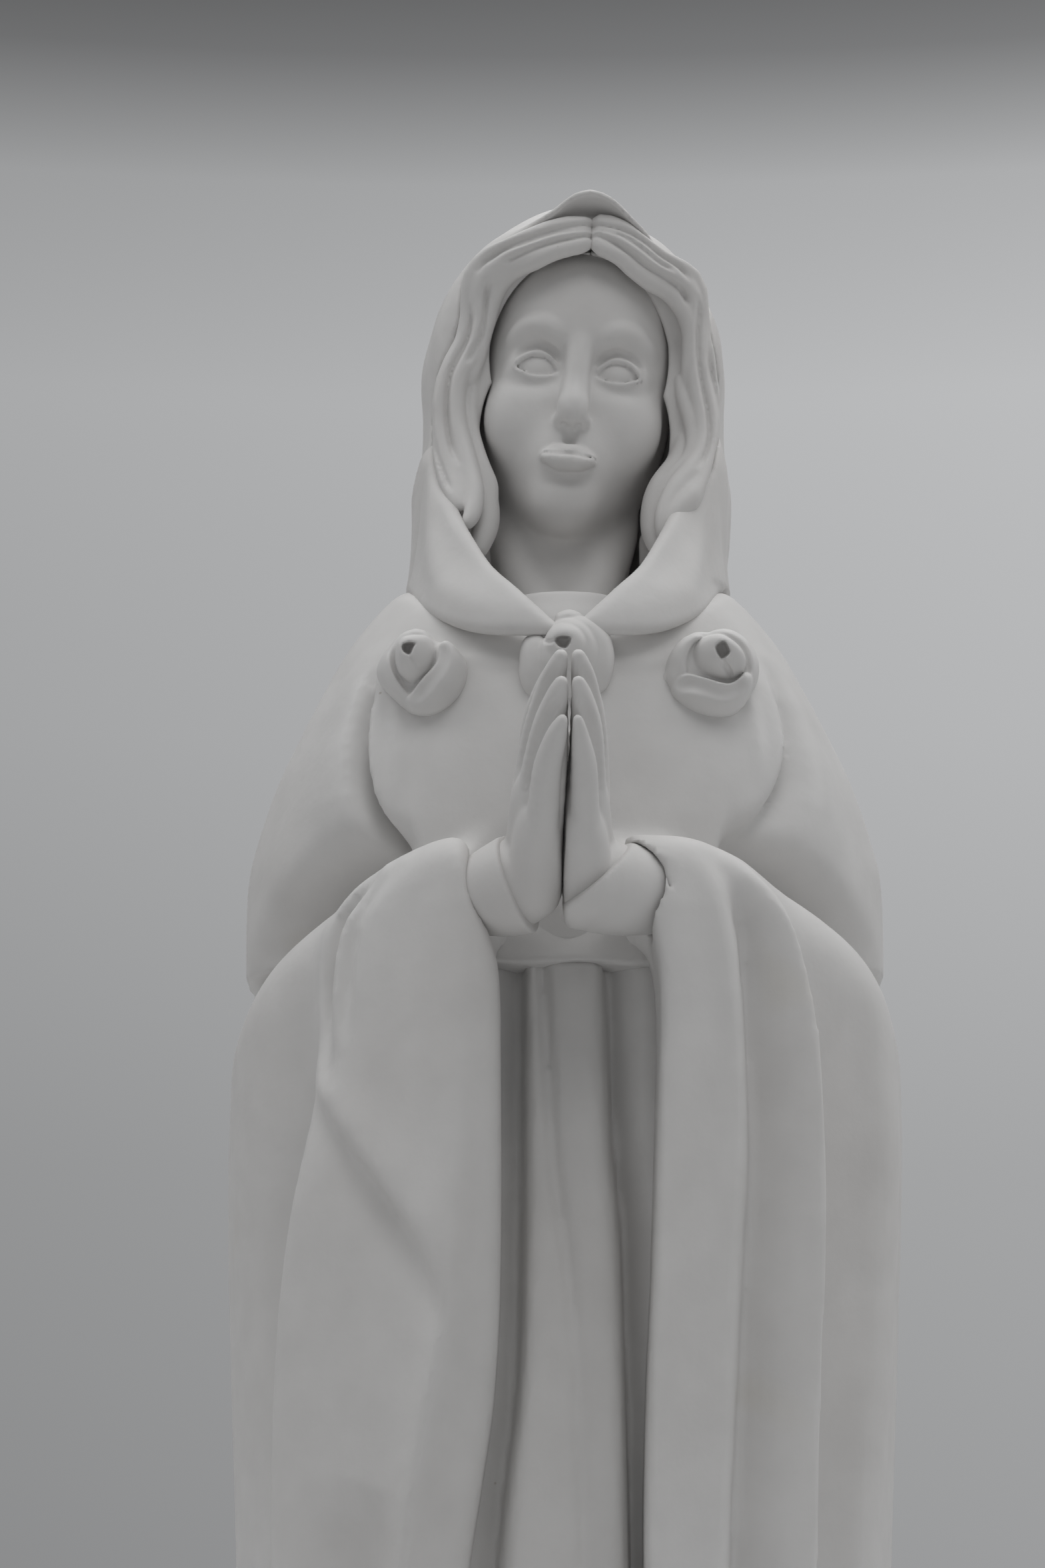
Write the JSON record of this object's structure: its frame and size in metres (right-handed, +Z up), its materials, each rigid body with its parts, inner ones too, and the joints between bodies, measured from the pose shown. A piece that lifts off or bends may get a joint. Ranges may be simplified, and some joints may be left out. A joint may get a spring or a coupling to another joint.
{
  "type": "madonna statue",
  "caption": "Standing veiled figure of a praying woman, palms together, with roses across the chest, on a moulded oval plinth.",
  "frame": {"origin": "centre of the felt pad's underside, on the plinth's upright axis, where the statue stands on the table", "axes": "+Z up from the plinth to the hood's peak; -Y is the way the figure faces; +X is to the right of someone looking at its face"},
  "size_m": [0.092, 0.0955, 0.3],
  "materials": {
    "cast_marble": "matt, as cast and lightly rubbed",
    "felt": "napped felt",
    "zinc_steel": "zinc plated"
  },
  "bodies": {
    "root": {"collar_left": "cast_marble", "collar_right": "cast_marble", "cuff_left": "cast_marble", "cuff_right": "cast_marble", "dress_bodice": "cast_marble", "dress_skirt": "cast_marble", "felt_pad": "felt", "fixing_rod": "zinc_steel", "hair_left": "cast_marble", "hair_right": "cast_marble", "hand_left": "cast_marble", "hand_right": "cast_marble", "head": "cast_marble", "hood": "cast_marble", "mantle_back": "cast_marble", "mantle_panel_left": "cast_marble", "mantle_panel_right": "cast_marble", "mantle_yoke": "cast_marble", "plinth": "cast_marble", "plinth_nut": "zinc_steel", "plinth_washer": "zinc_steel", "rose_centre_bud": "cast_marble", "rose_centre_inner_petal": "cast_marble", "rose_centre_outer_petal_1": "cast_marble", "rose_centre_outer_petal_2": "cast_marble", "rose_left_bud": "cast_marble", "rose_left_inner_petal": "cast_marble", "rose_left_outer_petal_1": "cast_marble", "rose_left_outer_petal_2": "cast_marble", "rose_right_bud": "cast_marble", "rose_right_inner_petal": "cast_marble", "rose_right_outer_petal_1": "cast_marble", "rose_right_outer_petal_2": "cast_marble"}
  },
  "joints": []
}
